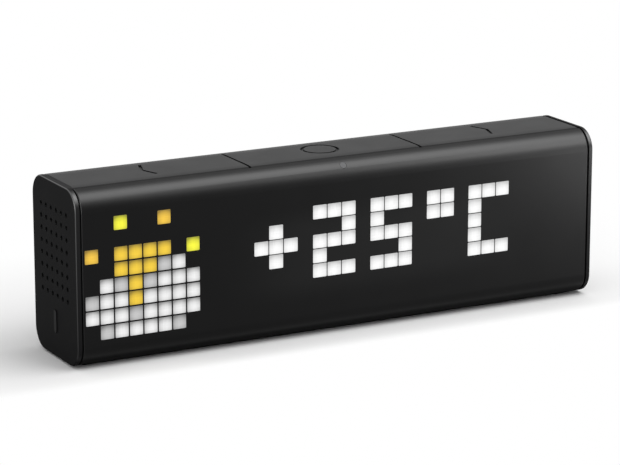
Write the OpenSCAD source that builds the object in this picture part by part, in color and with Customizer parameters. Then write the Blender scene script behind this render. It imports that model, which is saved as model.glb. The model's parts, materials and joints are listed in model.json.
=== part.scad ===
// Smart wi-fi clock: a slim bar with a pixel display, three top keys and a speaker at each end.
// The display faces -Y, X runs to the viewer's right and Z points up from the table.
// The origin lies on the table under the middle of the body.

/* [Body] */
// Overall width across the two end caps
body_w = 201; // [196:1:220]
// Overall depth from the front face to the back face
body_d = 36; // [35:0.5:42]
// Overall height from the table to the key tops
body_h = 61; // [60:0.5:68]
// Radius of the four long edges
edge_r = 7.5; // [6.5:0.5:8.5]
// Wall thickness of the moulded shells
wall = 2; // [1.6:0.1:2.4]
// Height that the rubber base stands below the shells
foot_h = 0.5; // [0.3:0.1:0.8]
// Thickness of the rubber base
pad_t = 1; // [0.9:0.1:1.3]
// Depth of the rubber base, front to back
pad_d = 22; // [16:0.5:22.5]

/* [End caps] */
// Thickness of the cap's visible rim
lip_t = 1.6; // [1.2:0.1:2.2]
// Width of the groove between cap and shells
groove_w = 0.6; // [0.4:0.1:1]
// Depth of that groove
groove_deep = 0.8; // [0.5:0.1:1.2]
// Rounding of the rim's outer edge
rim_r = 0.6; // [0.3:0.1:1]
// Rounding of the shells' ends, and chamfer of the keys' ends, beside the groove
end_r = 0.4; // [0.2:0.05:0.6]

/* [Top keys] */
// Width of the middle key
action_w = 65.5; // [60:0.5:70]
// Depth of the keys, front to back
key_d = 23.2; // [22.4:0.2:23.6]
// Thickness of a key's plate
key_t = 2; // [1.8:0.1:2.6]
// Depth of the flat middle of the keys' tops
key_flat = 16; // [15:0.5:20]
// Fall of the keys' tops from there to their long edges
key_fall = 0.25; // [0.1:0.05:0.5]
// Rounding of the keys' long edges
key_r = 1.4; // [0.4:0.1:1.8]
// Gap from the keys to the shells
key_gap = 0.4; // [0.3:0.1:0.6]
// Chamfer of the shells' edges along that gap
lip_c = 0.35; // [0.1:0.05:0.5]
// Gap from key to key
key_seam = 0.9; // [0.3:0.1:1.2]
// Travel of a key
key_travel = 0.6; // [0.4:0.1:0.8]
// Room left under a pressed key
key_slack = 0.4; // [0.3:0.1:0.6]
// Diameter of the key's guide posts
post_d = 3; // [2.6:0.1:3.6]
// Diameter of the engraved ring
ring_d = 13.5; // [9:0.5:16]
// Height of the engraved chevrons
chevron_h = 14; // [9:0.5:16]
// Width of the engraved chevrons
chevron_w = 2.3; // [1.6:0.1:4]
// Width of the engraved lines
mark_line = 1.1; // [0.5:0.1:1.4]
// Depth of the engraved lines
mark_deep = 0.5; // [0.2:0.05:0.7]

/* [Display] */
// Column pitch of the colour block
colour_pitch = 5.27; // [5.1:0.01:5.4]
// Row pitch of the colour block
colour_row = 5.26; // [5.1:0.01:5.3]
// Column pitch of the white block
white_pitch = 5.6; // [5.3:0.05:5.9]
// Row pitch of the white block
white_row = 5.14; // [5:0.01:5.2]
// How far the white block's middle lies above the colour block's
white_rise = 0.38; // [0:0.02:0.4]
// Columns of the colour block
colour_columns = 8; // [6:1:9]
// Least border above and below the cells
matrix_border = 3; // [2.8:0.1:3.4]
// Bar between the two blocks
block_gap = 3.3; // [3:0.1:5]
// From the cap's outer face to the first column
matrix_margin = 2.87; // [2.8:0.01:4]
// Wall between two cells
cell_wall = 0.5; // [0.4:0.05:0.8]
// Depth of the cells
cell_depth = 4; // [3:0.25:4.5]
// Thickness of the diffuser sheet
diffuser_t = 0.5; // [0.3:0.1:0.8]
// Side of an LED
led_w = 3.2; // [2:0.1:3.5]
// Height of an LED
led_h = 1.4; // [0.8:0.1:2]
// Diameter of the light sensor's lens
lens_d = 2.4; // [1.6:0.1:2.6]

/* [Speakers and grilles] */
// Diameter of a grille hole
hole_d = 1.7; // [1:0.1:2]
// Pitch of the grille holes
hole_pitch = 4.2; // [3.8:0.1:4.3]
// Columns of grille holes
hole_columns = 6; // [4:1:6]
// Rows of grille holes
hole_rows = 8; // [6:1:8]
// Height of the grille's centre above the middle of the body
grille_rise = 6.25; // [5.5:0.25:7]
// Outer diameter of the speaker's flange
speaker_d = 23; // [20:0.5:23.5]
// Thickness of the speaker's flange
flange_t = 1.2; // [1:0.1:1.6]
// Depth of the speaker's frame behind the flange
basket_depth = 5; // [4:0.25:6]
// Diameter of the magnet
magnet_d = 15; // [12:0.5:15.5]
// Length of the magnet
magnet_t = 4.5; // [3:0.25:5]
// Thickness of the foam gasket
gasket_t = 2.8; // [2.2:0.1:3.2]
// Thickness of the grille cloth
cloth_t = 0.3; // [0.2:0.05:0.5]

/* [Side buttons] */
// Width of the side buttons
button_w = 2; // [1.6:0.1:2.6]
// Length of the power button
power_len = 7.9; // [6:0.1:9]
// From the grille cloth's lower edge down to the buttons' centre
button_drop = 8.05; // [7.5:0.05:8.5]
// Gap between the inner rims of the two volume buttons
volume_gap = 0.4; // [0.2:0.1:1]
// How far a button stands out of its cap
button_proud = 0.3; // [0.1:0.1:0.5]
// Travel of a side button
button_travel = 0.5; // [0.3:0.1:0.7]
// Gap round a side button
button_gap = 0.15; // [0.1:0.05:0.3]
// Width of the button's inner retaining rim
button_rim = 0.7; // [0.5:0.05:0.75]
// Thickness of that rim
button_rim_t = 1; // [0.8:0.1:1.3]

/* [Circuit boards] */
// Thickness of the LED board and the main board
board_t = 1.6; // [1.2:0.1:1.8]
// Thickness of the key board and the side boards
small_board_t = 1; // [0.8:0.1:1.2]
// From the main board's ends to the speakers' magnets
main_gap = 6.5; // [5:0.5:12]
// Lower edge of the main board
main_z0 = 7.5; // [7:0.1:8]
// From the main board's top to the deck's bosses
main_top_gap = 1.9; // [1:0.1:4]
// Height of the bosses behind the main board
main_stand = 5; // [4.6:0.1:5.4]
// Depth of the key board, front to back
key_board_d = 12; // [11:0.5:13]
// Width of a side board
side_board_d = 16; // [15:0.5:17]
// Side of a switch housing
switch_w = 6; // [5:0.1:6.4]
// Height of a switch housing
switch_h = 3.5; // [3.2:0.1:3.8]
// Diameter of a switch stem
stem_d = 3.5; // [2.5:0.1:4]
// Length of a key's switch stem above its housing
stem_out = 1.5; // [1.2:0.1:1.8]
// Thickness of the key deck
deck_t = 1.6; // [1.4:0.1:1.8]
// Thickness of the end bulkheads
bulkhead_t = 2; // [1.6:0.1:2.4]

/* [Power socket] */
// Width of the power socket
usb_w = 7.6; // [7:0.1:9]
// Height of the power socket
usb_h = 2.8; // [2.6:0.1:3.4]
// Height of the socket's centre
usb_z = 14; // [13:0.5:16]
// Depth of the plug recess in the back wall
usb_recess = 0.8; // [0.4:0.1:1]

/* [Fasteners and fits] */
// Diameter of the screws
screw_d = 1.6; // [1.4:0.1:1.8]
// Diameter of the screw heads
head_d = 3.2; // [2.8:0.1:3.4]
// Height of the screw heads
head_t = 1.1; // [0.9:0.1:1.2]
// Outer diameter of the screw bosses
boss_d = 4; // [3.6:0.1:4]
// Diameter of the slim bosses round the display
slim_boss_d = 3; // [2.8:0.1:3]
// Radial clearance of a sliding post, stem or button shaft
slide_fit = 0.1; // [0.05:0.01:0.15]
// Clearance of a piece that is set into another
seat_fit = 0.15; // [0.1:0.05:0.2]

/* [Hidden] */
$fn = 64;
// How far a cut runs past the faces that it opens
cut = 1;
// Body outline
half_w = body_w / 2;
lip_in = half_w - lip_t;
shell_end = lip_in - groove_w;
shell_h = body_h - foot_h;
mid_z = foot_h + shell_h / 2;
front_in = wall - body_d / 2;
back_in = body_d / 2 - wall;
floor_z = foot_h + wall;
inner_r = edge_r - wall;
arc_y = body_d / 2 - edge_r;
arc_z = body_h - edge_r;
seam_fit = 0.1;
pad_half = shell_end - groove_deep;
pad_r = 3;

// Keys and the deck below them
key_z = body_h - key_t;
key_roll_r = key_fall / 2 + pow(key_d - key_flat, 2) / (8 * key_fall);
roll_steps = 360;
deck_top = key_z - key_travel - key_slack;
deck_z = deck_top - deck_t;
lip_y = key_d / 2 + key_gap;
lip_z = arc_z + sqrt(pow(edge_r, 2) - pow(max(lip_y - arc_y, 0), 2));
deck_half = arc_y + sqrt(pow(inner_r, 2) - pow(deck_top - arc_z, 2)) - 2 * seat_fit;
deck_x = shell_end - 2 * seat_fit;
deck_seat = 1.2;
ledge_t = 1.2;
deck_boss_h = 7;
ledge_z = deck_z - ledge_t;
seam_x = (action_w + key_seam) / 2;
outer_key_x0 = action_w / 2 + key_seam;
outer_key_w = shell_end - outer_key_x0;
outer_key_x = outer_key_x0 + outer_key_w / 2;
key_xs = [-outer_key_x, 0, outer_key_x];
key_ws = [outer_key_w, action_w, outer_key_w];
mark_y = 1.2;
chevron_shift = 0.5;
post_inset = 9;
post_below = 1.5;
post_len = key_z - deck_z + post_below;
plunger_rim = 0.5;
plunger_d = stem_d + 2 * plunger_rim;
plunger_room = 0.3;
hook_inset = 18;
hook_w = 3;
hook_t = 1.2;
hook_room = 0.4;
barb = 0.6;
barb_h = 1;
barb_gap = 0.1;

// Key board, switches and stems
stand_h = switch_h + stem_out;
key_board_z = deck_z - stand_h;
key_board_edge = 3.5;
key_board_half = outer_key_x + switch_w / 2 + key_board_edge;
stand_inset = 11.5;
stand_x = outer_key_x - stand_inset;
key_stand_x = [-stand_x, -seam_x, seam_x, stand_x];
stem_in = 1.6;
bore_room = 0.2;
switch_bore = stem_in + max(key_travel, button_travel) + bore_room;

// Display stack, from the front wall inwards
diffuser_y = front_in;
baffle_y = diffuser_y + diffuser_t;
led_board_y = baffle_y + cell_depth;
led_back = led_board_y + board_t;
hook_y = -led_back - head_t - hook_room - barb - hook_t / 2;
stack_half = shell_end - cloth_t - seat_fit;
display_rise = 0.06;
display_z = mid_z + display_rise;
colour_x = matrix_margin - half_w;
white_x = colour_x + colour_columns * colour_pitch + block_gap;
right_border = 1;
white_columns = floor((stack_half - right_border - white_x) / white_pitch);
baffle_z1 = ledge_z - seat_fit;
baffle_z0 = 2 * display_z - baffle_z1;
row_h = max(colour_row, white_row);
rows = floor((baffle_z1 - baffle_z0 - 2 * matrix_border) / row_h);
cells_h = rows * row_h;
baffle_border = baffle_z1 - display_z - cells_h / 2;
diffuser_h = cells_h - cell_wall;
led_screw_pitch = 38;
led_screw_zs = [baffle_z0 + baffle_border / 2, baffle_z1 - baffle_border / 2];
led_screw_at = [for (i = [0 : 3], z = led_screw_zs) [white_x - block_gap / 2 + i * led_screw_pitch, z]];

// Speakers, side buttons and their layers, from an end cap inwards
speaker_y = (led_back + back_in) / 2;
grille_z = mid_z + grille_rise;
cloth_in = shell_end - cloth_t;
flange_face = cloth_in - gasket_t;
bulk_out = flange_face - flange_t;
bulk_in = bulk_out - bulkhead_t;
flange_rim = 2;
flange_lip = 1;
basket_r = speaker_d / 2 - flange_lip;
basket_wall = 1;
basket_land = 1;
basket_back_r = magnet_d / 2 + basket_land;
pole_r = 5;
coil_r = 3.75;
roll_w = 1.5;
cone_t = 0.4;
ear_edge = 0.4;
ear_r = boss_d / 2 + ear_edge;
ear_reach = 1.6;
ear_root = 0.8;
ear_at = (speaker_d / 2 + ear_reach) / sqrt(2);
ears = [[-ear_at, ear_at], [ear_at, -ear_at]];
tab_at = [3.85, -8.5];
tab_w = 2.4;
tab_h = 5;
cloth_margin = 0.3;
grille_w = (hole_columns - 1) * hole_pitch + hole_d;
grille_h = (hole_rows - 1) * hole_pitch + hole_d;
cloth_z0 = grille_z - grille_h / 2 - cloth_margin;
button_z = cloth_z0 - button_drop;
cap_boss_y = back_in - boss_d / 2 - seat_fit;
cap_boss_rise = 10;
cap_boss_drop = 11.4;
cap_boss_zs = [cap_boss_rise, body_h - cap_boss_drop];
bulk_front = led_back + 2 * seat_fit;
rim_out = shell_end - slide_fit;
rim_in = rim_out - button_rim_t;
side_stem_out = rim_in - bulk_in - switch_h;
side_screw_edge = 0.2;
side_screw_y = side_board_d / 2 - boss_d / 2 - side_screw_edge;
side_boss_h = 2.5;
side_half = min(button_drop, button_z - floor_z) - seat_fit;
side_board_h = 2 * side_half;
volume_pitch = side_half + volume_gap / 2;
volume_len = volume_pitch - volume_gap - 2 * button_rim;
power_zs = [button_z];
volume_zs = [button_z - volume_pitch / 2, button_z + volume_pitch / 2];
window_room = 0.3;

// Main board and what stands on it
main_rear = back_in - main_stand;
main_front = main_rear - board_t;
main_w = 2 * (flange_face - flange_t - basket_depth - magnet_t - main_gap);
main_h = deck_z - deck_boss_h - main_top_gap - main_z0;
main_screw_inset = 8;
main_screw_x = main_w / 2 - main_screw_inset;
main_screw_rise = 4.5;
main_screw_zs = [main_z0 + main_screw_rise, main_z0 + main_h - main_screw_rise];
main_screw_at = [for (x = [-main_screw_x, main_screw_x], z = main_screw_zs) [x, z]];
main_boss_d = 5.5;
usb_room = 0.2;
usb_mouth = body_d / 2 - usb_recess;
usb_frame = 2.4;
usb_shell = 0.4;
usb_r = 0.8;
usb_frame_r = 2;
usb_back = 1;
tongue_t = 0.7;
tongue_gap = 1.2;
tongue_set = 1;
conn_h = 1.2;
conn_w = 22;
conn_d = 3;
ribbon_t = 0.3;
ribbon_w = 18;
loop_z = 24;
loop_y0 = led_back + conn_h / 2;
loop_y1 = main_front - conn_h / 2;
loop_r = (loop_y1 - loop_y0) / 2;
loop_drop = 2;
key_conn_x = 24;
key_conn_w = 14;
key_ribbon_w = 10;
bend_r = 2.8;
key_ribbon_y = loop_y1 - bend_r;
key_ribbon_z = key_board_z - small_board_t - conn_h / 2;
bend_drop = 1.5;
plug_w = 5;
plug_t = 4;
plug_h = 6;
plug_inset = 4;
plug_x = main_w / 2 - plug_inset;
lead_rise = 2.5;
lead_y = main_front - lead_rise;
lead_d = 1.1;
lead_pitch = 2;
speaker_lead_z = grille_z + tab_at[1];
side_lead_rise = 5;
side_lead_z = button_z + side_lead_rise;
// Wi-fi module: corner, size and the can over its lower part
wifi_at = [-60, 16];
wifi_w = 18;
wifi_h = 24;
wifi_t = 0.8;
can_inset = 1;
can_h = 17;
can_t = 2;
// Corner, width, height and thickness of each chip
chips = [[28, 20, 14, 14, 1.4], [47, 22, 10, 12, 1.1], [-32, 30, 6, 6, 1], [-24, 14, 8, 8, 3]];
sensor_size = [2, 1.2, 0.55];

// Screws that hold the shells, the deck and the boards
shell_screw_inset = 10;
shell_screw_x = bulk_in - shell_screw_inset;
shell_screw_xs = [for (i = [-1, -0.5, 0.5, 1]) i * shell_screw_x];
shell_screw_y = -6.5;
lug_w = 10;
lug_t = 2;
lug_lift = 0.3;
lug_root = 3;
lug_boss_d = 5;
lug_boss_h = 7;
deck_screw_inset = 2.5;
deck_screw_at = [for (x = [-outer_key_x, -seam_x, seam_x, outer_key_x]) [x, deck_half - deck_screw_inset]];
web_t = 2;
pilot_fit = 0.1;
pilot_d = screw_d + pilot_fit;
pass_fit = 0.4;
pass_d = screw_d + pass_fit;
// Solid left past a blind screw hole, and room left past a screw's tip
hole_end = 0.5;
tip_room = 0.5;

// Extrudes a shape drawn in Y and Z along X
module along_x(x, len) {
  translate([x, 0, 0]) rotate([90, 0, 90]) linear_extrude(len) children();
}

// Extrudes a shape drawn in X and Z along Y
module along_y(y, len) {
  translate([0, y + len, 0]) rotate([90, 0, 0]) linear_extrude(len) children();
}

// Cylinders along X and along Y, from their lower end
module rod_x(d, len) {
  rotate([0, 90, 0]) cylinder(d = d, h = len);
}

module rod_y(d, len) {
  rotate([-90, 0, 0]) cylinder(d = d, h = len);
}

// Puts what is drawn at the right end at the left end instead when side is -1
module at_end(side) {
  if (side < 0) mirror([1, 0, 0]) children();
  else children();
}

// Rectangle with round corners
module round_rect(w, h, r) {
  square([w - 2 * r, h], center = true);
  square([w, h - 2 * r], center = true);
  for (x = [-1, 1], y = [-1, 1]) translate([x * (w / 2 - r), y * (h / 2 - r)]) circle(r);
}

// Upright slot with round ends
module slot(w, len) {
  square([w, len - w], center = true);
  for (y = [-1, 1]) translate([0, y * (len - w) / 2]) circle(d = w);
}

// Body's outline in Y and Z, drawn in by inset
module section(inset) {
  translate([0, mid_z]) round_rect(body_d - 2 * inset, shell_h - 2 * inset, edge_r - inset);
}

// Plate with round corners whose upper rim is rounded too
module rim_plate(w, h, r, t, e) {
  module edge() {
    square([r - e, t]);
    square([r, t - e]);
    translate([r - e, t - e]) circle(e);
  }
  module bar(len) {
    rotate([90, 0, 90]) linear_extrude(len) edge();
  }
  x = w / 2 - r;
  y = h / 2 - r;
  translate([-x, -y, 0]) cube([2 * x, 2 * y, t]);
  for (turn = [0, 180]) rotate(turn) {
    translate([x, y, 0]) rotate_extrude(angle = 90) edge();
    translate([-x, y, 0]) rotate(90) rotate_extrude(angle = 90) edge();
    translate([-x, y, 0]) bar(2 * x);
    translate([x, y, 0]) rotate(-90) bar(2 * y);
  }
}

// Body between the caps, solid, with its two ends rounded
module body_bar() {
  end_t = 2 * end_r;
  along_x(end_t - shell_end, 2 * (shell_end - end_t)) section(0);
  for (side = [-1, 1]) at_end(side) translate([shell_end - end_t, 0, mid_z]) rotate([90, 0, 90])
    rim_plate(body_d, shell_h, edge_r, end_t, end_r);
}

// The stretch of the body's outer wall that lies inside the children, drawn in Y and Z
module outer_wall() {
  intersection() {
    body_bar();
    along_x(-half_w, body_w) difference() {
      children();
      section(wall);
    }
  }
}

// What lies behind the keys in Y and Z, with a chamfer along the key gap
module behind_keys() {
  polygon([
    [lip_y, -cut],
    [body_d, -cut],
    [body_d, body_h + cut],
    [lip_y + lip_c + body_h + cut - lip_z, body_h + cut],
    [lip_y, lip_z - lip_c]
  ]);
}

// Screw along Z whose head stands on z = 0
module pan_screw(len) {
  translate([0, 0, -len]) cylinder(d = screw_d, h = len);
  cylinder(d = head_d, h = head_t);
}

// Screw along Z whose sunk head ends flush at z = 0
module flat_screw(len) {
  translate([0, 0, -len]) cylinder(d = screw_d, h = len);
  translate([0, 0, -head_t]) cylinder(d1 = screw_d, d2 = head_d, h = head_t);
}

// Hole for a sunk screw through a plate of thickness t below z = 0
module flat_hole(t) {
  translate([0, 0, -t - cut]) cylinder(d = pass_d, h = t + cut);
  translate([0, 0, -head_t]) cylinder(d1 = pass_d, d2 = head_d + pass_fit, h = head_t + slide_fit);
}

// Front shell: display window, both long front edges, deck slot, board bosses and screw lugs
module front_ledges() {
  intersection() {
    section(wall / 2);
    union() {
      translate([-body_d, ledge_z]) square([body_d - deck_half + deck_seat, ledge_t]);
      translate([-deck_half - 2 * seat_fit, deck_top + seat_fit])
        square([deck_half + 2 * seat_fit - lip_y, body_h]);
    }
  }
}

module lens_axis() {
  translate([0, -arc_y, arc_z]) rotate([45, 0, 0]) children();
}

module front_shell() {
  color("#1d1d1f") difference() {
    union() {
      outer_wall() mirror([1, 0]) behind_keys();
      along_x(-shell_end, 2 * shell_end) front_ledges();
      for (p = led_screw_at) translate([p[0], front_in - wall / 2, p[1]])
        rod_y(slim_boss_d, led_board_y - front_in + wall / 2);
      for (x = shell_screw_xs) {
        translate([x - lug_w / 2, -lip_y - lug_root, floor_z + lug_lift])
          cube([lug_w, shell_screw_y + lip_y + lug_root, lug_t]);
        translate([x, shell_screw_y, floor_z]) cylinder(d = lug_boss_d, h = lug_boss_h);
      }
    }
    for (p = led_screw_at) translate([p[0], front_in + diffuser_t, p[1]]) rod_y(pilot_d, body_d);
    for (x = shell_screw_xs) translate([x, shell_screw_y, floor_z - cut])
      cylinder(d = pilot_d, h = lug_boss_h - hole_end + cut);
    lens_axis() translate([0, 0, inner_r - seat_fit]) cylinder(d = lens_d + 2 * slide_fit, h = wall + cut);
  }
}

// Rear shell: back wall, floor, deck ledge, end bulkheads and board bosses
module rear_ledge() {
  intersection() {
    section(wall / 2);
    translate([deck_half - deck_seat, ledge_z]) square([body_d, ledge_t]);
  }
}

module bulkhead() {
  intersection() {
    along_x(bulk_in, bulkhead_t) section(wall / 2);
    translate([0, bulk_front, foot_h]) cube([body_w, body_d, deck_z - seat_fit - foot_h]);
  }
  for (y = [-side_screw_y, side_screw_y]) translate([bulk_in, y, button_z])
    rod_x(boss_d, bulkhead_t + side_boss_h);
  for (p = ears) translate([bulk_in - side_boss_h, speaker_y + p[0], grille_z + p[1]])
    rod_x(boss_d, side_boss_h + bulkhead_t);
}

// Holes in a bulkhead: speaker, switch window and screws
module bulkhead_cuts(zs) {
  translate([bulk_in - cut, speaker_y, grille_z])
    rod_x(2 * basket_r + 2 * window_room, bulkhead_t + 2 * cut);
  along_x(bulk_in - cut, bulkhead_t + 2 * cut) translate([0, button_z])
    square([switch_w, switch_w + zs[len(zs) - 1] - zs[0]] + 2 * window_room * [1, 1], center = true);
  for (y = [-side_screw_y, side_screw_y]) translate([bulk_in - cut, y, button_z])
    rod_x(pilot_d, bulkhead_t + side_boss_h + cut - hole_end);
  for (p = ears) translate([bulk_in - side_boss_h + hole_end, speaker_y + p[0], grille_z + p[1]])
    rod_x(pilot_d, side_boss_h + bulkhead_t + cut);
  for (z = cap_boss_zs) translate([bulk_in - cut, cap_boss_y, z]) rod_x(pass_d, bulkhead_t + 2 * cut);
}

module rear_shell() {
  color("#1a1a1b") difference() {
    union() {
      outer_wall() {
        behind_keys();
        translate([seam_fit - lip_y, -cut]) square([2 * body_d, mid_z + cut]);
      }
      along_x(-shell_end, 2 * shell_end) rear_ledge();
      for (side = [-1, 1]) at_end(side) bulkhead();
      for (p = main_screw_at) translate([p[0], main_rear, p[1]]) rod_y(main_boss_d, main_stand + wall / 2);
      for (p = deck_screw_at) {
        translate([p[0], p[1], deck_z - deck_boss_h]) cylinder(d = boss_d, h = deck_boss_h);
        intersection() {
          along_x(p[0] - web_t / 2, web_t) section(wall / 2);
          translate([-body_w, p[1], deck_z - deck_boss_h]) cube([2 * body_w, body_d, deck_boss_h]);
        }
      }
    }
    at_end(-1) bulkhead_cuts(power_zs);
    at_end(1) bulkhead_cuts(volume_zs);
    for (p = main_screw_at) translate([p[0], main_rear - cut, p[1]]) rod_y(pilot_d, main_stand + cut);
    for (p = deck_screw_at) translate([p[0], p[1], deck_z - deck_boss_h + hole_end])
      cylinder(d = pilot_d, h = deck_boss_h);
    for (x = shell_screw_xs) translate([x, shell_screw_y, pad_t]) mirror([0, 0, 1])
      flat_hole(floor_z - pad_t);
    translate([0, 0, -cut]) linear_extrude(pad_t + cut)
      round_rect(2 * pad_half + 2 * seam_fit, pad_d + 2 * seam_fit, pad_r + seam_fit);
    along_y(back_in - cut, wall + 2 * cut) translate([0, usb_z])
      round_rect(usb_w + 2 * usb_room, usb_h + 2 * usb_room, usb_r + usb_room);
    along_y(usb_mouth, usb_recess + cut) translate([0, usb_z])
      round_rect(usb_w + 2 * usb_frame, usb_h + 2 * usb_frame, usb_frame_r);
  }
}

// End cap: rounded rim, groove step, speaker grille, button slots and screw bosses
module end_cap(side, zs, len) {
  color("#1c1c1d") at_end(side) difference() {
    union() {
      translate([lip_in, 0, mid_z]) rotate([90, 0, 90]) rim_plate(body_d, shell_h, edge_r, lip_t, rim_r);
      difference() {
        along_x(shell_end, groove_w) section(groove_deep);
        translate([0, -lip_y, deck_top]) cube([body_w, 2 * lip_y, body_h]);
      }
      for (z = cap_boss_zs) translate([bulk_out, cap_boss_y, z])
        rod_x(boss_d, shell_end - bulk_out + groove_w / 2);
    }
    for (i = [0 : hole_columns - 1], j = [0 : hole_rows - 1])
      translate([
        shell_end - cut,
        (i - (hole_columns - 1) / 2) * hole_pitch,
        grille_z + (j - (hole_rows - 1) / 2) * hole_pitch
      ]) rod_x(hole_d, groove_w + lip_t + 2 * cut);
    for (z = zs) along_x(shell_end - cut, groove_w + lip_t + 2 * cut) translate([0, z])
      slot(button_w + 2 * button_gap, len + 2 * button_gap);
    for (z = cap_boss_zs) translate([bulk_out - cut, cap_boss_y, z])
      rod_x(pilot_d, shell_end - bulk_out + cut);
  }
}

module base_pad() {
  color("#141414") linear_extrude(pad_t) round_rect(2 * pad_half, pad_d, pad_r);
}

// Upper outline of the keys in Y and Z: flat in the middle, rolled off towards the long edges
module key_crown() {
  translate([-key_flat / 2, body_h - 2 * key_roll_r]) square([key_flat, 2 * key_roll_r]);
  for (side = [-1, 1]) translate([side * key_flat / 2, body_h - key_roll_r])
    circle(key_roll_r, $fn = roll_steps);
}

// Top key: plate that follows the body's outline, guide posts, hooks and plunger
module top_key(i) {
  x = key_xs[i];
  w = key_ws[i];
  color("#2b2b2c") {
    difference() {
      along_x(x - w / 2, w) intersection() {
        section(0);
        translate([-key_d / 2, key_z]) square([key_d, key_t]);
        translate([0, key_z]) round_rect(key_d, 2 * key_t, key_r);
        key_crown();
      }
      if (i != 1) at_end(i - 1) translate([shell_end, 0, body_h]) rotate([0, 45, 0])
        cube([sqrt(2) * end_r, body_d, sqrt(2) * end_r], center = true);
    }
    for (dx = [-1, 1]) {
      translate([x + dx * (w / 2 - post_inset), 0, key_z - post_len])
        cylinder(d = post_d, h = post_len + key_t / 2);
      for (dy = [-1, 1]) translate([x + dx * (w / 2 - hook_inset), dy * hook_y, 0]) key_hook(dy);
    }
    translate([x, 0, deck_z]) cylinder(d = plunger_d, h = key_z - deck_z + key_t / 2);
  }
}

module key_hook(dy) {
  z0 = deck_z - barb_gap - barb_h;
  translate([-hook_w / 2, -hook_t / 2, z0]) cube([hook_w, hook_t, key_z - z0 + key_t / 2]);
  translate([-hook_w / 2, dy > 0 ? 0 : -hook_t / 2 - barb, z0]) cube([hook_w, hook_t / 2 + barb, barb_h]);
}

module chevron(side) {
  tilt = atan2(chevron_w, chevron_h / 2);
  arm = norm([chevron_w, chevron_h / 2]);
  x = side * (outer_key_x + chevron_shift + chevron_w / 2);
  for (dy = [-1, 1]) translate([x, mark_y, body_h - mark_deep]) rotate(dy * side * tilt)
    translate([-mark_line / 2, dy > 0 ? 0 : -arm, 0]) cube([mark_line, arm, mark_deep + cut]);
  translate([x, mark_y, body_h - mark_deep]) cylinder(d = mark_line, h = mark_deep + cut);
}

module arrow_key(side) {
  color("#2b2b2c") difference() {
    top_key(side < 0 ? 0 : 2);
    chevron(side);
  }
}

module action_key() {
  color("#2b2b2c") difference() {
    top_key(1);
    translate([0, mark_y, body_h - mark_deep]) difference() {
      cylinder(d = ring_d, h = mark_deep + cut);
      translate([0, 0, -cut]) cylinder(d = ring_d - 2 * mark_line, h = mark_deep + 3 * cut);
    }
  }
}

// Deck that guides the keys and carries the key board
module key_deck() {
  color("#161617") difference() {
    union() {
      translate([-deck_x, -deck_half, deck_z]) cube([2 * deck_x, 2 * deck_half, deck_t]);
      for (x = key_stand_x) translate([x, 0, key_board_z]) cylinder(d = boss_d, h = stand_h);
    }
    for (i = [0 : 2]) {
      for (dx = [-1, 1]) {
        translate([key_xs[i] + dx * (key_ws[i] / 2 - post_inset), 0, deck_z - cut])
          cylinder(d = post_d + 2 * slide_fit, h = deck_t + 2 * cut);
        for (dy = [-1, 1])
          translate([key_xs[i] + dx * (key_ws[i] / 2 - hook_inset), dy * hook_y, deck_z + deck_t / 2])
            cube([hook_w + 2 * seat_fit, hook_t + 2 * seat_fit, deck_t + 2 * cut], center = true);
      }
      translate([key_xs[i], 0, deck_z - cut])
        cylinder(d = plunger_d + 2 * plunger_room, h = deck_t + 2 * cut);
    }
    for (x = key_stand_x) translate([x, 0, key_board_z - cut]) cylinder(d = pilot_d, h = stand_h + cut);
    for (p = deck_screw_at) translate([p[0], p[1], deck_top]) flat_hole(deck_t);
  }
}

module key_board() {
  color("#1f5b3a") difference() {
    translate([-key_board_half, key_ribbon_y - key_board_d, key_board_z - small_board_t])
      cube([2 * key_board_half, key_board_d, small_board_t]);
    for (x = key_stand_x) translate([x, 0, key_board_z - small_board_t - cut])
      cylinder(d = pass_d, h = small_board_t + 2 * cut);
  }
}

// Push switch on a board whose face is z = 0: housing with a bore, and the stem that slides in it
module switch_housing() {
  color("#303032") difference() {
    translate([-switch_w / 2, -switch_w / 2, 0]) cube([switch_w, switch_w, switch_h]);
    translate([0, 0, switch_h - switch_bore]) cylinder(d = stem_d + 2 * slide_fit, h = switch_bore + cut);
  }
}

module switch_stem(out) {
  color("#d8d8d4") translate([0, 0, switch_h - stem_in]) cylinder(d = stem_d, h = stem_in + out);
}

module at_key_switch(i) {
  translate([key_xs[i], 0, key_board_z]) children();
}

module at_side_switch(side, z) {
  at_end(side) translate([bulk_in, 0, z]) rotate([0, 90, 0]) children();
}

// Side button: shaft with round ends and a wider rim inside the cap
module side_button(side, z, len) {
  color("#343436") at_end(side) translate([0, 0, z]) {
    along_x(rim_in, half_w + button_proud - rim_in) slot(button_w, len);
    along_x(rim_in, button_rim_t) slot(button_w + 2 * button_rim, len + 2 * button_rim);
  }
}

module side_board(side) {
  color("#1f5b3a") at_end(side) difference() {
    translate([bulk_in - small_board_t, -side_board_d / 2, button_z - side_board_h / 2])
      cube([small_board_t, side_board_d, side_board_h]);
    for (y = [-side_screw_y, side_screw_y]) translate([bulk_in - small_board_t - cut, y, button_z])
      rod_x(pass_d, small_board_t + 2 * cut);
  }
}

// Display stack
module diffuser_sheet() {
  color("#e9e9e6") translate([-stack_half, diffuser_y, display_z - diffuser_h / 2])
    cube([2 * stack_half, diffuser_t, diffuser_h]);
}

// One rectangle in the middle of each cell of both blocks, drawn in X and Z
// A side of 0 or less is taken off the pitch
module cell_grid(dx, dz) {
  module block(x0, mid, columns, pitch, row) {
    for (i = [0 : columns - 1], j = [0 : rows - 1])
      translate([x0 + (i + 0.5) * pitch, mid + (j + 0.5 - rows / 2) * row])
        square([dx > 0 ? dx : pitch + dx, dz > 0 ? dz : row + dz], center = true);
  }
  block(colour_x, display_z, colour_columns, colour_pitch, colour_row);
  block(white_x, display_z + white_rise, white_columns, white_pitch, white_row);
}

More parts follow.
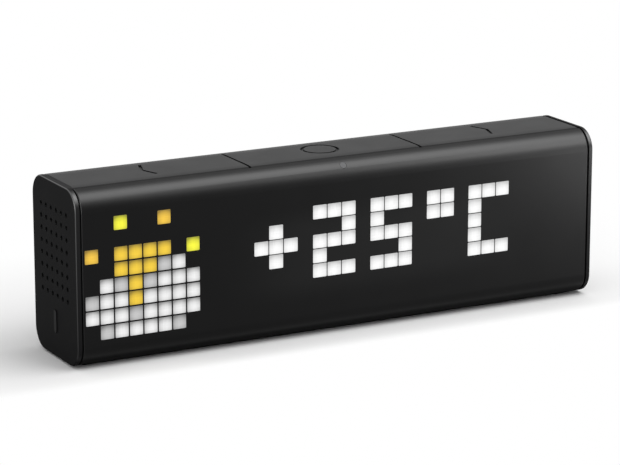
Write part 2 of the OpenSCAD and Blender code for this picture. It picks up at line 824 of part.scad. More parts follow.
module pixel_baffle() {
  notch_d = slim_boss_d + 2 * slide_fit;
  color("#f0f0ee") along_y(baffle_y, cell_depth) difference() {
    translate([-stack_half, baffle_z0]) square([2 * stack_half, baffle_z1 - baffle_z0]);
    cell_grid(-cell_wall, -cell_wall);
    for (p = led_screw_at) translate(p) {
      circle(d = notch_d);
      translate([-notch_d / 2, p[1] > display_z ? 0 : -baffle_border]) square([notch_d, baffle_border]);
    }
  }
}

module led_board() {
  color("#20242a") difference() {
    translate([-stack_half, led_board_y, baffle_z0]) cube([2 * stack_half, board_t, baffle_z1 - baffle_z0]);
    for (p = led_screw_at) translate([p[0], led_board_y - cut, p[1]]) rod_y(pass_d, board_t + 2 * cut);
  }
}

module matrix_leds() {
  color("#f4f0d8") along_y(led_board_y - led_h, led_h) cell_grid(led_w, led_w);
}

// Light sensor behind a clear lens in the upper front edge
module sensor_lens() {
  color("#c9ccd0") lens_axis() translate([0, 0, inner_r]) cylinder(d = lens_d, h = wall - slide_fit / 2);
}

module light_sensor() {
  color("#26282c") translate([-sensor_size[0] / 2, -deck_half - slide_fit - sensor_size[1], deck_z])
    cube(sensor_size);
}

// Main board and what is soldered to it
module main_board() {
  color("#1c4f78") difference() {
    translate([-main_w / 2, main_front, main_z0]) cube([main_w, board_t, main_h]);
    for (p = main_screw_at) translate([p[0], main_front - cut, p[1]]) rod_y(pass_d, board_t + 2 * cut);
  }
}

// Block on the main board's front face, from a corner in X and Z
module on_main(x, z, w, h, t) {
  translate([x, main_front - t, z]) cube([w, t, h]);
}

module wifi_module() {
  color("#b9bcc0") {
    on_main(wifi_at[0], wifi_at[1], wifi_w, wifi_h, wifi_t);
    on_main(wifi_at[0] + can_inset, wifi_at[1] + can_inset, wifi_w - 2 * can_inset, can_h, wifi_t + can_t);
  }
}

module board_chips() {
  color("#232326") for (c = chips) on_main(c[0], c[1], c[2], c[3], c[4]);
}

// Metal power socket with a contact tongue set back from its mouth
module usb_socket() {
  module mouth() {
    round_rect(usb_w - 2 * usb_shell, usb_h - 2 * usb_shell, usb_r - usb_shell);
  }
  depth = usb_mouth - main_rear;
  color("#b4b6ba") difference() {
    along_y(main_rear, depth) translate([0, usb_z]) round_rect(usb_w, usb_h, usb_r);
    along_y(main_rear + usb_back, depth) translate([0, usb_z]) difference() {
      mouth();
      square([usb_w - 2 * usb_shell - 2 * tongue_gap, tongue_t], center = true);
    }
    along_y(usb_mouth - tongue_set, tongue_set + cut) translate([0, usb_z]) mouth();
  }
}

module ribbon_connectors() {
  color("#d9d4c4") {
    translate([-conn_w / 2, led_back, loop_z]) cube([conn_w, conn_h, conn_d]);
    on_main(-conn_w / 2, loop_z, conn_w, conn_d, conn_h);
    translate([key_conn_x, key_ribbon_y - conn_d, key_board_z - small_board_t - conn_h])
      cube([key_conn_w, conn_d, conn_h]);
    on_main(key_conn_x, key_ribbon_z - bend_r - bend_drop - conn_d, key_conn_w, conn_d, conn_h);
  }
}

// Strip of a ring in Y and Z: the part of it inside the children
module ring_part(r) {
  intersection() {
    difference() {
      circle(r + ribbon_t / 2);
      circle(r - ribbon_t / 2);
    }
    children();
  }
}

// Flat ribbon that hangs in a loop between the LED board and the main board
module matrix_ribbon() {
  color("#cfcac0") along_x(-ribbon_w / 2, ribbon_w) {
    translate([loop_y0 + loop_r, loop_z - loop_drop]) ring_part(loop_r)
      translate([-2 * loop_r, -2 * loop_r]) square([4 * loop_r, 2 * loop_r]);
    for (y = [loop_y0, loop_y1]) translate([y - ribbon_t / 2, loop_z - loop_drop])
      square([ribbon_t, loop_drop]);
  }
}

// Flat ribbon that bends from the key board down to the main board
module key_ribbon() {
  color("#cfcac0") along_x(key_conn_x + (key_conn_w - key_ribbon_w) / 2, key_ribbon_w)
    translate([key_ribbon_y, key_ribbon_z - bend_r]) {
      ring_part(bend_r) square(2 * bend_r);
      translate([bend_r - ribbon_t / 2, -bend_drop]) square([ribbon_t, bend_drop]);
    }
}

module lead_plugs() {
  color("#ece9e0") for (side = [-1, 1], z = [speaker_lead_z, side_lead_z])
    on_main(side * plug_x - plug_w / 2, z - plug_h / 2, plug_w, plug_h, plug_t);
}

// Two wires to the speaker's tab and two to the side board
module leads(side) {
  x0 = plug_x + plug_w / 2;
  tab_end = flange_face - flange_t - basket_depth;
  color("#b3322a") at_end(side) for (dz = [-lead_pitch / 2, lead_pitch / 2]) {
    translate([x0, lead_y, speaker_lead_z + dz]) rod_x(lead_d, tab_end - x0);
    translate([x0, lead_y, side_lead_z + dz]) rod_x(lead_d, bulk_in - small_board_t - x0);
  }
}

// Speaker, drawn from its flange's face with the axis pointing into the body
module at_speaker(side) {
  at_end(side) translate([flange_face, speaker_y, grille_z]) rotate([0, -90, 0]) children();
}

module speaker_frame(side) {
  back = flange_t + basket_depth;
  color("#2e2f33") at_speaker(side) difference() {
    union() {
      rotate_extrude() polygon([
        [basket_r - basket_wall, 0], [speaker_d / 2, 0], [speaker_d / 2, flange_t], [basket_r, flange_t],
        [basket_back_r, back], [pole_r, back], [pole_r, back - basket_wall],
        [basket_back_r - basket_wall, back - basket_wall], [basket_r - basket_wall, flange_t]
      ]);
      for (p = ears) hull() {
        translate([p[1], p[0], 0]) cylinder(r = ear_r, h = flange_t, $fn = 32);
        translate([p[1], p[0], 0] * ear_root) cylinder(r = ear_r, h = flange_t, $fn = 32);
      }
      translate([tab_at[1] - tab_h / 2, lead_y - speaker_y - tab_w / 2, flange_t + basket_depth / 2])
        cube([tab_h, tab_w, basket_depth / 2]);
    }
    translate([0, 0, -cut]) cylinder(r = basket_r - basket_wall, h = flange_t + cut);
    translate([0, 0, flange_t]) cylinder(
      r1 = basket_r - basket_wall, r2 = basket_back_r - basket_wall, h = basket_depth - basket_wall
    );
    for (p = ears) translate([p[1], p[0], -cut]) cylinder(d = pass_d, h = flange_t + 2 * cut);
  }
}

// Paper cone with a roll edge and a dust dome
module speaker_cone(side) {
  r = basket_r - basket_wall - slide_fit;
  neck = flange_t + basket_depth / 2;
  color("#3c3c3e") at_speaker(side) rotate_extrude() {
    polygon([
      [coil_r, neck], [r - roll_w, cone_t], [r, cone_t], [r, 2 * cone_t], [r - roll_w, 2 * cone_t],
      [coil_r, neck + cone_t]
    ]);
    translate([0, neck]) square([coil_r, cone_t]);
    translate([coil_r - cone_t, neck]) square([cone_t, basket_depth / 2 - basket_wall]);
  }
}

module speaker_magnet(side) {
  color("#8d9095") at_speaker(side) translate([0, 0, flange_t + basket_depth])
    cylinder(d = magnet_d, h = magnet_t);
}

module speaker_gasket(side) {
  color("#111111") at_speaker(side) translate([0, 0, -gasket_t]) difference() {
    cylinder(d = speaker_d, h = gasket_t);
    translate([0, 0, -cut]) cylinder(d = speaker_d - 2 * flange_rim, h = gasket_t + 2 * cut);
  }
}

module grille_cloth(side) {
  color("#101010") at_end(side) along_x(cloth_in, cloth_t) translate([0, grille_z])
    square([grille_w + 2 * cloth_margin, grille_h + 2 * cloth_margin], center = true);
}

// Screws, grouped by what they hold
module shell_screws() {
  color("#9a9ca0") for (x = shell_screw_xs) translate([x, shell_screw_y, pad_t]) mirror([0, 0, 1])
    flat_screw(floor_z - pad_t + lug_boss_h - hole_end - tip_room);
}

module cap_screws() {
  color("#9a9ca0") for (side = [-1, 1], z = cap_boss_zs) at_end(side)
    translate([bulk_in, cap_boss_y, z]) rotate([0, -90, 0]) pan_screw(shell_end - bulk_in - tip_room);
}

module deck_screws() {
  color("#222224") for (p = deck_screw_at) translate([p[0], p[1], deck_top])
    flat_screw(deck_t + deck_boss_h - hole_end - tip_room);
}

module key_board_screws() {
  color("#9a9ca0") for (x = key_stand_x) translate([x, 0, key_board_z - small_board_t]) mirror([0, 0, 1])
    pan_screw(small_board_t + stand_h - tip_room);
}

module led_board_screws() {
  color("#9a9ca0") for (p = led_screw_at) translate([p[0], led_back, p[1]]) rotate([-90, 0, 0])
    pan_screw(board_t + cell_depth - tip_room);
}

module main_board_screws() {
  color("#9a9ca0") for (p = main_screw_at) translate([p[0], main_front, p[1]]) rotate([90, 0, 0])
    pan_screw(board_t + main_stand - tip_room);
}

module side_board_screws() {
  color("#9a9ca0") for (side = [-1, 1], y = [-side_screw_y, side_screw_y]) at_end(side)
    translate([bulk_in - small_board_t, y, button_z]) rotate([0, -90, 0])
      pan_screw(small_board_t + bulkhead_t + side_boss_h - hole_end - tip_room);
}

module speaker_screws() {
  color("#9a9ca0") for (side = [-1, 1], p = ears) at_end(side)
    translate([flange_face, speaker_y + p[0], grille_z + p[1]]) rotate([0, 90, 0])
      pan_screw(flange_t + bulkhead_t + side_boss_h - hole_end - tip_room);
}

front_shell();
rear_shell();
end_cap(-1, power_zs, power_len);  // left_end_cap
end_cap(1, volume_zs, volume_len);  // right_end_cap
base_pad();
arrow_key(-1);  // left_key
action_key();
arrow_key(1);  // right_key
key_deck();
key_board();
for (i = [0 : 2]) at_key_switch(i) switch_housing();  // key_switches
at_key_switch(0) switch_stem(stem_out);  // left_key_stem
at_key_switch(1) switch_stem(stem_out);  // action_key_stem
at_key_switch(2) switch_stem(stem_out);  // right_key_stem
side_button(-1, power_zs[0], power_len);  // power_button
at_side_switch(-1, power_zs[0]) switch_housing();  // power_switch
at_side_switch(-1, power_zs[0]) switch_stem(side_stem_out);  // power_stem
side_board(-1);  // power_board
side_button(1, volume_zs[1], volume_len);  // volume_up_button
side_button(1, volume_zs[0], volume_len);  // volume_down_button
for (z = volume_zs) at_side_switch(1, z) switch_housing();  // volume_switches
at_side_switch(1, volume_zs[1]) switch_stem(side_stem_out);  // volume_up_stem
at_side_switch(1, volume_zs[0]) switch_stem(side_stem_out);  // volume_down_stem
side_board(1);  // volume_board
diffuser_sheet();
pixel_baffle();
led_board();
matrix_leds();
main_board();
wifi_module();
board_chips();
usb_socket();
sensor_lens();
light_sensor();
speaker_frame(-1);  // left_speaker_frame
speaker_cone(-1);  // left_speaker_cone
speaker_magnet(-1);  // left_speaker_magnet
speaker_gasket(-1);  // left_speaker_gasket
speaker_frame(1);  // right_speaker_frame
speaker_cone(1);  // right_speaker_cone
speaker_magnet(1);  // right_speaker_magnet
speaker_gasket(1);  // right_speaker_gasket
grille_cloth(-1);  // left_grille_cloth
grille_cloth(1);  // right_grille_cloth
ribbon_connectors();
matrix_ribbon();
key_ribbon();
lead_plugs();
leads(-1);  // left_leads
leads(1);  // right_leads
shell_screws();
cap_screws();
deck_screws();
key_board_screws();
led_board_screws();
main_board_screws();
side_board_screws();
speaker_screws();
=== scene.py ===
"""Smart wi-fi clock: finishes, lit display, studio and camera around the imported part."""
import json
import math

import bmesh
import bpy
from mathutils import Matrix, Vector


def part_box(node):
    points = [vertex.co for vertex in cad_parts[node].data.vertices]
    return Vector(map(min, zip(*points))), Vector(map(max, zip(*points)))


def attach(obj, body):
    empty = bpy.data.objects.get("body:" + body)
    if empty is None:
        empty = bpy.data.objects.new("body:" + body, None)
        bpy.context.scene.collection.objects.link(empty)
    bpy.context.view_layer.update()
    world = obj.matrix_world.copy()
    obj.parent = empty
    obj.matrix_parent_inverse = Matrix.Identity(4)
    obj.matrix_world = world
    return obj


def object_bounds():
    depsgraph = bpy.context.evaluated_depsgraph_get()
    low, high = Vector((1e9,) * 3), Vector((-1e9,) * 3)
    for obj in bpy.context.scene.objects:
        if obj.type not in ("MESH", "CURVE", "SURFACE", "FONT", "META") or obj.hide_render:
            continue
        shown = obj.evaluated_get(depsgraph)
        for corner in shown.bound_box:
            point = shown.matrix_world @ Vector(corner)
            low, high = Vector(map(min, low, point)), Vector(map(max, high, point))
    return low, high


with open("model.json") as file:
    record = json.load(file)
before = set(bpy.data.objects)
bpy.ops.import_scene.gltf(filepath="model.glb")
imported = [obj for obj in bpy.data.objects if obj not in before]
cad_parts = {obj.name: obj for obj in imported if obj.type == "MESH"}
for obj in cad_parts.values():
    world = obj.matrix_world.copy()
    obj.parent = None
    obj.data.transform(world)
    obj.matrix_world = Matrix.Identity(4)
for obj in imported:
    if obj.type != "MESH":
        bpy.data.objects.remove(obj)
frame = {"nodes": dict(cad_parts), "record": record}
cad_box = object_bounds()

MM = 0.001

# Camera: the photograph's viewing angle, its place in mm and its clipping in m
CAMERA_AT = (-456.08, -847.24, 279.72)
CAMERA_AZIMUTH = -28.063
CAMERA_ELEVATION = 14.469
CAMERA_LENS = 165.73
CAMERA_SENSOR = 36.0
CAMERA_CLIP = (0.01, 50)

# Studio: the world's level, and the floor in m, which runs out to white from the object's edges
WORLD_LEVEL = 0.75
FLOOR_HALF = 4.0
FLOOR_TONE = 0.88
FADE_SIDE = 0.11
FADE_FRONT = 0.016
FADE_BACK = 0.12

# Lamps: place and aim in mm, width and height in m
LAMPS = {
    "overhead": dict(at=(312, -302, 818), aim=(0, 0, 30), size=(0.8, 0.7), watts=4.4, on_floor=True),
    "right_front": dict(at=(182, -103, 38), aim=(90, -18, 42), size=(0.06, 0.04), watts=0.165,
                        on_floor=False),
    "right_high": dict(at=(290, -277, 182), aim=(97, -15, 56), size=(0.1, 0.22), watts=0.88, on_floor=False),
    "left_front": dict(at=(-869, -460, 420), aim=(0, 0, 30), size=(0.4, 0.8), watts=4.5, on_floor=False),
}

# Display: pitch and upper left corner of the two pixel blocks on the front face in mm, and a tile's share of
# its cell. Light of a tile: its brightest place in shares of the tile, the loss at half a tile sideways and
# upwards, and its least level
ICON_BLOCK = dict(pitch=(5.27, 5.26), corner=(-97.63, 51.85), fill=0.90)
ICON_LIGHT = dict(bright=(0.53, 0.36), fall=(0.32, 0.42), least=0.3)
READING_BLOCK = dict(pitch=(5.60, 5.14), corner=(-35.37, 46.61), fill=0.94)
READING_LIGHT = dict(bright=(0.5, 0.3), fall=(0.2, 0.25), least=0.55)

# Tiles: corner radius and steps, height over and depth under the front face in mm, the look of their surface,
# and the film's fibres in mm
TILE_ROUND = 0.3
TILE_STEPS = 3
TILE_PROUD = 0.02
TILE_SUNK = 0.05
TILE_BASE = (0.02, 0.02, 0.02, 1)
TILE_ROUGH = 0.5
TILE_SPECULAR = 0.1
FIBRE_SIZE = 0.5
FIBRE_STRETCH = 0.12
FIBRE_TONES = (0.9, 1.1)

# Painted glow (halo) on the front round the reading, standing in for its light scattered in the smoked
# plastic, in mm, with the share of its reach that is evenly bright
HALO_CENTRE = (13.0, 30.0)
HALO_REACH = (62.0, 18.0)
HALO_CORE = 0.4
HALO_LEVEL = 0.0055

# Moulded plastic, in mm: drift of tone and gloss, grain, painted black shade in seams and engravings, scuffed
# band
DRIFT_SIZE = 14
DRIFT_DETAIL = 4
DRIFT_ROUGH = 0.05
GRAIN_DETAIL = 3
# Painted shade: seams and engravings are painted black from a depth under the key tops, with a soft edge
PAINTED_SHADE_BLACK = (0.001, 0.001, 0.001)
SEAM_EDGE = 0.1
SEAM_FROM_TOP = 0.42
SCUFF_EDGE = 2

# Gloss on roundings: sum of the normal's fourth powers on square faces and halfway between them, the normal's
# part along the body where the rim starts and is full, level at the table, heights in mm where it comes in
POLISH_ROUGH = 0.38
SQUARE_ON = 1.0
HALFWAY = 0.5
RIM_STARTS = 0.95
RIM_FULL = 0.6
POLISH_AT_TABLE = 0.2
POLISH_FROM = 3
POLISH_FULL = 5

# Brushed metal: lines in mm with their stretch, and their spread of tone and roughness
LINE_SIZE = 0.25
LINE_STRETCH = 0.04
LINE_DETAIL = 3
LINE_DEPTH = 0.004
LINE_TONES = (0.85, 1.1)
LINE_ROUGH = (-0.08, 0.1)

# Circuit boards: copper traces in mm under a solder mask
TRACE_SIZE = 2.4
TRACE_RANDOM = 0.8
TRACE_DEPTH = 0.02
TRACE_TONES = (0.8, 1.5)
MASK_SIZE = 3
MASK_ROUGH = (0.3, 0.45)
MASK_SPECULAR = 0.5

# Cloth and ribbon: scale of a wave texture that repeats once in a unit, threads and conductors in mm
WAVE_SCALE = 0.314
THREAD_DEPTH = 0.05
THREAD_TONES = (0.5, 1.4)
THREAD_ROUGH = 0.9
STRIPE_DEPTH = 0.03
FILM_SIZE = 4
FILM_ROUGH = (-0.05, 0.08)

# Finishes by the record's slot
# Keys are painted black as shade from this height down, in their seams and engravings
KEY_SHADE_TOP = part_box("action_key")[1].z / MM - SEAM_FROM_TOP
MOULDED = {
    "smoked_front": dict(colour=(0.0009, 0.0009, 0.00096), rough=0.42, grain_mm=0.4, depth_mm=0.002,
                         specular=0.11, polish=1.0, matt_below=3.5),
    "shell_black": dict(colour=(0.003, 0.003, 0.0032), rough=0.55, specular=0.12, polish=1.0),
    "cap_black": dict(colour=(0.004, 0.004, 0.0042), rough=0.65, specular=0.03, polish=1.0,
                      polish_ior=1.8, rim=0.1),
    "key_black": dict(colour=(0.008, 0.008, 0.0083), rough=0.48, grain_mm=0.3, depth_mm=0.005, specular=0.13,
                      painted_shade_below=KEY_SHADE_TOP),
    "button_black": dict(colour=(0.005, 0.005, 0.0052), rough=0.5, grain_mm=0.3, depth_mm=0.003,
                         specular=0.05),
    "rubber_base": dict(colour=(0.003, 0.003, 0.003), rough=0.95, grain_mm=0.6, depth_mm=0.02, specular=0.02),
    "deck_plastic": dict(colour=(0.004, 0.004, 0.004), rough=0.6, specular=0.1),
    "switch_black": dict(colour=(0.05, 0.05, 0.052), rough=0.5),
    "stem_white": dict(colour=(0.7, 0.7, 0.68), rough=0.45, mottle=0.05),
    "diffuser_film": dict(colour=(0.82, 0.82, 0.8), rough=0.6, grain_mm=0.2, depth_mm=0.006, mottle=0.03),
    "baffle_white": dict(colour=(0.85, 0.85, 0.83), rough=0.55, mottle=0.04),
    "led_body": dict(colour=(0.85, 0.8, 0.6), rough=0.25, mottle=0.1),
    "chip_black": dict(colour=(0.04, 0.04, 0.044), rough=0.55, grain_mm=0.15, depth_mm=0.006),
    "lens_clear": dict(colour=(0.012, 0.013, 0.015), rough=0.12, grain_mm=0.5, depth_mm=0.001, mottle=0.1),
    "speaker_frame": dict(colour=(0.07, 0.072, 0.08), rough=0.4, grain_mm=0.5, depth_mm=0.01),
    "speaker_paper": dict(colour=(0.07, 0.07, 0.072), rough=0.85, grain_mm=0.5, depth_mm=0.03, mottle=0.25),
    "gasket_foam": dict(colour=(0.025, 0.025, 0.025), rough=0.95, grain_mm=0.3, depth_mm=0.08, mottle=0.35),
    "connector_cream": dict(colour=(0.72, 0.69, 0.58), rough=0.45, mottle=0.06),
    "lead_red": dict(colour=(0.45, 0.04, 0.035), rough=0.4, grain_mm=0.6, depth_mm=0.01, mottle=0.15),
}
METALS = {
    "shield_steel": dict(colour=(0.62, 0.63, 0.65), rough=0.32, brushed="X"),
    "magnet_steel": dict(colour=(0.45, 0.46, 0.48), rough=0.3, brushed="Z"),
    "screw_black": dict(colour=(0.03, 0.03, 0.032), rough=0.45, brushed="Z"),
    "screw_steel": dict(colour=(0.55, 0.56, 0.58), rough=0.28, brushed="Z"),
}
BOARDS = {
    "board_green": dict(colour=(0.03, 0.16, 0.07)),
    "board_blue": dict(colour=(0.03, 0.12, 0.24)),
    "board_black": dict(colour=(0.02, 0.024, 0.028)),
}
CLOTHS = {"grille_cloth": dict(colour=(0.006, 0.006, 0.006), pitch_mm=0.4)}
RIBBONS = {
    "ribbon_film": dict(dark=(0.42, 0.4, 0.36), light=(0.75, 0.73, 0.68), pitch_mm=1.0, direction="X",
                        rough=0.35),
}

# Digits and signs, five rows high
GLYPHS = {
    "+": ("...", ".#.", "###", ".#.", "..."),
    "2": ("###", "..#", "###", "#..", "###"),
    "5": ("###", "#..", "###", "..#", "###"),
    "degree": ("##", "##", "..", "..", ".."),
    "C": ("###", "#..", "#..", "#..", "###"),
}
READING = ("+", "2", "5", "degree", "C")
WHITE = (0.97, 0.97, 0.97)

# Weather figure: rows of lit cells as first and last column, and single cells as column and row
CLOUD = {3: (5, 6), 4: (1, 7), 5: (0, 7), 6: (0, 7), 7: (1, 6)}
CLOUD_SHADE = ((5, 3), (2, 4), (4, 4), (0, 5), (3, 6), (1, 7), (6, 7))
SUN = {2: (2, 5), 3: (2, 4), 4: (3, 3), 5: (3, 3)}
LIME_RAYS = ((2, 0), (7, 2))
ORANGE_RAYS = ((5, 0), (0, 2))
CLOUD_WHITE = (0.86, 0.86, 0.86)
CLOUD_GREY = (0.55, 0.55, 0.55)
SUN_YELLOW = (0.91, 0.61, 0.03)
RAY_LIME = (0.97, 0.95, 0.03)
RAY_ORANGE = (0.92, 0.57, 0.045)


def make_node(tree, kind, sets=None, **inputs):
    """A shader node with its settings and its input values."""
    made = tree.nodes.new(kind)
    for key, value in (sets or {}).items():
        setattr(made, key, value)
    for key, value in inputs.items():
        made.inputs[key].default_value = value
    return made


def shader(name, **values):
    """A new material with its tree and its Principled shader, whose constant sockets are set here."""
    mat = bpy.data.materials.new(name)
    mat.use_nodes = True
    tree = mat.node_tree
    bsdf = tree.nodes["Principled BSDF"]
    for key, value in values.items():
        bsdf.inputs[key.replace("_", " ")].default_value = value
    return mat, tree, bsdf


def place(tree):
    """Where a point lies on the object, in metres."""
    return make_node(tree, "ShaderNodeTexCoord").outputs["Object"]


def stretched(tree, scale):
    """Place on the object with its axes scaled, so that a pattern runs long where the scale is small."""
    made = make_node(tree, "ShaderNodeMapping")
    made.inputs["Scale"].default_value = scale
    tree.links.new(place(tree), made.inputs["Vector"])
    return made.outputs["Vector"]


def noise(tree, size_mm, detail=2.0, vector=None):
    """Noise whose grains are about size_mm across."""
    made = make_node(tree, "ShaderNodeTexNoise", Scale=1 / (size_mm * MM), Detail=detail)
    tree.links.new(vector or place(tree), made.inputs["Vector"])
    return made.outputs["Fac"]


def wave(tree, direction, pitch_mm):
    """Even waves pitch_mm apart along one axis."""
    sets = {"bands_direction": direction}
    made = make_node(tree, "ShaderNodeTexWave", sets, Scale=WAVE_SCALE / (pitch_mm * MM))
    tree.links.new(place(tree), made.inputs["Vector"])
    return made.outputs["Fac"]


def ramp(tree, value, start, end, low=0.0, high=1.0, smooth=False):
    """Runs from low to high while the value runs from start to end, and stays there beyond."""
    kind = "SMOOTHSTEP" if smooth else "LINEAR"
    made = make_node(tree, "ShaderNodeMapRange", {"interpolation_type": kind})
    for key, setting in (("From Min", start), ("From Max", end), ("To Min", low), ("To Max", high)):
        made.inputs[key].default_value = setting
    tree.links.new(value, made.inputs["Value"])
    return made.outputs["Result"]


def spread(tree, value, low, high):
    """Maps a 0 to 1 value to the range low to high."""
    return ramp(tree, value, 0.0, 1.0, low, high)


def calc(tree, operation, *values):
    """Result of one sum on linked or given values."""
    made = make_node(tree, "ShaderNodeMath", {"operation": operation})
    for socket, value in zip(made.inputs, values):
        if isinstance(value, (int, float)):
            socket.default_value = value
        else:
            tree.links.new(value, socket)
    return made.outputs["Value"]


def product(tree, first, second):
    """One value times another."""
    return calc(tree, "MULTIPLY", first, second)


def squared(tree, value):
    """A value times itself."""
    return calc(tree, "POWER", value, 2.0)


def vector_calc(tree, operation, first, second):
    """Result of one sum on two linked or given vectors."""
    made = make_node(tree, "ShaderNodeVectorMath", {"operation": operation})
    for socket, value in zip(made.inputs, (first, second)):
        if isinstance(value, tuple):
            socket.default_value = value
        else:
            tree.links.new(value, socket)
    return made.outputs["Value" if operation == "DOT_PRODUCT" else "Vector"]


def axis_of(tree, vector, axis):
    """One coordinate of a vector."""
    made = make_node(tree, "ShaderNodeSeparateXYZ")
    tree.links.new(vector, made.inputs["Vector"])
    return made.outputs[axis]


def by_height(tree, start_mm, end_mm, low=0.0):
    """Runs from low to 1 between two heights over the table."""
    return ramp(tree, axis_of(tree, place(tree), "Z"), start_mm * MM, end_mm * MM, low)


def tint(tree, value, dark, light):
    """Blends two colours, given or linked, by a 0 to 1 value."""
    made = make_node(tree, "ShaderNodeMix", {"data_type": "RGBA"})
    colour_inputs = [socket for socket in made.inputs if socket.type == "RGBA"]
    for socket, colour in zip(colour_inputs, (dark, light)):
        if isinstance(colour, tuple):
            socket.default_value = (*colour, 1)
        else:
            tree.links.new(colour, socket)
    tree.links.new(value, made.inputs["Factor"])
    return next(socket for socket in made.outputs if socket.type == "RGBA")


def shaded(tree, value, colour, factors):
    """Blends a colour times the first factor with the colour times the second by a 0 to 1 value."""
    dark, light = (tuple(min(1.0, c * factor) for c in colour) for factor in factors)
    return tint(tree, value, dark, light)


def relief(tree, bsdf, height, depth_mm):
    """Bump of depth_mm on the shader's normal."""
    made = make_node(tree, "ShaderNodeBump", Strength=1.0, Distance=depth_mm * MM)
    tree.links.new(height, made.inputs["Height"])
    tree.links.new(made.outputs["Normal"], bsdf.inputs["Normal"])


def turned_edge(tree, rim):
    """0 on faces square to the axes and 1 on roundings halfway between them, fading out towards the table.

    rim is the share on the faces that don't look along the body.
    """
    normal = make_node(tree, "ShaderNodeTexCoord").outputs["Normal"]
    squares = vector_calc(tree, "MULTIPLY", normal, normal)
    fourths = vector_calc(tree, "DOT_PRODUCT", squares, squares)
    turned = squared(tree, ramp(tree, fourths, SQUARE_ON, HALFWAY))
    if rim:
        endways = calc(tree, "ABSOLUTE", axis_of(tree, normal, "X"))
        turned = calc(tree, "MAXIMUM", turned, ramp(tree, endways, RIM_STARTS, RIM_FULL, 0.0, rim))
    height = product(tree, by_height(tree, 0, cad_box[1].z / MM, POLISH_AT_TABLE),
                     by_height(tree, POLISH_FROM, POLISH_FULL))
    return product(tree, turned, height)


def moulded(name, colour, rough, grain_mm=0.35, depth_mm=0.004, specular=0.5, mottle=0.12, polish=0.0,
            polish_ior=1.5, rim=0.0, painted_shade_below=None, matt_below=None):
    """Moulded plastic: fine spark-eroded grain and a slow drift of tone and gloss.

    polish is the gloss that handling leaves on the roundings, and rim its share on the faces that don't
    look along the body. Heights in mm: under painted_shade_below the surface, in seams and engravings, is
    painted black as shade, and under matt_below it is scuffed.
    """
    mat, tree, bsdf = shader(name, Specular_IOR_Level=specular, Coat_Roughness=POLISH_ROUGH,
                             Coat_IOR=polish_ior)
    drift = noise(tree, DRIFT_SIZE, DRIFT_DETAIL)
    tone = shaded(tree, drift, colour, (1 - mottle, 1 + mottle))
    # Painted shade: under that height the base colour is painted black in place of the shade in seams and
    # engravings
    if painted_shade_below is not None:
        tone = tint(tree, by_height(tree, painted_shade_below, painted_shade_below + SEAM_EDGE), PAINTED_SHADE_BLACK, tone)
    tree.links.new(tone, bsdf.inputs["Base Color"])
    dull = spread(tree, drift, rough - DRIFT_ROUGH, rough + DRIFT_ROUGH)
    if matt_below is not None:
        dull = calc(tree, "MAXIMUM", dull, by_height(tree, matt_below + SCUFF_EDGE, matt_below))
    tree.links.new(dull, bsdf.inputs["Roughness"])
    relief(tree, bsdf, noise(tree, grain_mm, GRAIN_DETAIL), depth_mm)
    if polish:
        tree.links.new(spread(tree, turned_edge(tree, rim), 0.0, polish), bsdf.inputs["Coat Weight"])
    return mat


def add_painted_halo(mat):
    """A painted glow on the smoked plastic round the digits, in place of the reading's light that it
    scatters.
    """
    tree = mat.node_tree
    bsdf = tree.nodes["Principled BSDF"]
    halo = 1.0
    for axis, centre, reach in zip("XZ", HALO_CENTRE, HALO_REACH):
        away = calc(tree, "SUBTRACT", axis_of(tree, place(tree), axis), centre * MM)
        near = ramp(tree, calc(tree, "ABSOLUTE", away), reach * MM, HALO_CORE * reach * MM, smooth=True)
        halo = product(tree, halo, near)
    # Painted glow: emission on the front shell's material, not light from the tiles
    tree.links.new(spread(tree, halo, 0.0, HALO_LEVEL), bsdf.inputs["Emission Strength"])
    bsdf.inputs["Emission Color"].default_value = (1, 1, 1, 1)


def metal(name, colour, rough, brushed):
    """Plated or brushed metal with fine lines along one axis."""
    mat, tree, bsdf = shader(name, Metallic=1.0)
    along = stretched(tree, [LINE_STRETCH if axis == brushed else 1 for axis in "XYZ"])
    lines = noise(tree, LINE_SIZE, LINE_DETAIL, along)
    tree.links.new(shaded(tree, lines, colour, LINE_TONES), bsdf.inputs["Base Color"])
    dull = spread(tree, lines, rough + LINE_ROUGH[0], rough + LINE_ROUGH[1])
    tree.links.new(dull, bsdf.inputs["Roughness"])
    relief(tree, bsdf, lines, LINE_DEPTH)
    return mat


def woven(name, colour, pitch_mm):
    """Plain weave of threads pitch_mm apart, over all three axes."""
    mat, tree, bsdf = shader(name, Roughness=THREAD_ROUGH)
    height = 1.0
    for direction in "XYZ":
        height = product(tree, height, wave(tree, direction, pitch_mm))
    tree.links.new(shaded(tree, height, colour, THREAD_TONES), bsdf.inputs["Base Color"])
    relief(tree, bsdf, height, THREAD_DEPTH)
    return mat


def circuit(name, colour):
    """Solder mask over copper traces that run square to each other."""
    mat, tree, bsdf = shader(name, Specular_IOR_Level=MASK_SPECULAR)
    cells = make_node(tree, "ShaderNodeTexVoronoi", {"distance": "CHEBYCHEV", "feature": "F2"},
                      Scale=1 / (TRACE_SIZE * MM), Randomness=TRACE_RANDOM)
    tree.links.new(place(tree), cells.inputs["Vector"])
    edge = spread(tree, cells.outputs["Distance"], 0, 1)
    tree.links.new(shaded(tree, edge, colour, TRACE_TONES), bsdf.inputs["Base Color"])
    tree.links.new(spread(tree, noise(tree, MASK_SIZE), *MASK_ROUGH), bsdf.inputs["Roughness"])
    relief(tree, bsdf, edge, TRACE_DEPTH)
    return mat


def striped(name, dark, light, pitch_mm, direction, rough):
    """Flat ribbon with its conductors showing as fine stripes."""
    mat, tree, bsdf = shader(name)
    stripes = wave(tree, direction, pitch_mm)
    tree.links.new(tint(tree, stripes, dark, light), bsdf.inputs["Base Color"])
    dull = spread(tree, noise(tree, FILM_SIZE), rough + FILM_ROUGH[0], rough + FILM_ROUGH[1])
    tree.links.new(dull, bsdf.inputs["Roughness"])
    relief(tree, bsdf, stripes, STRIPE_DEPTH)
    return mat


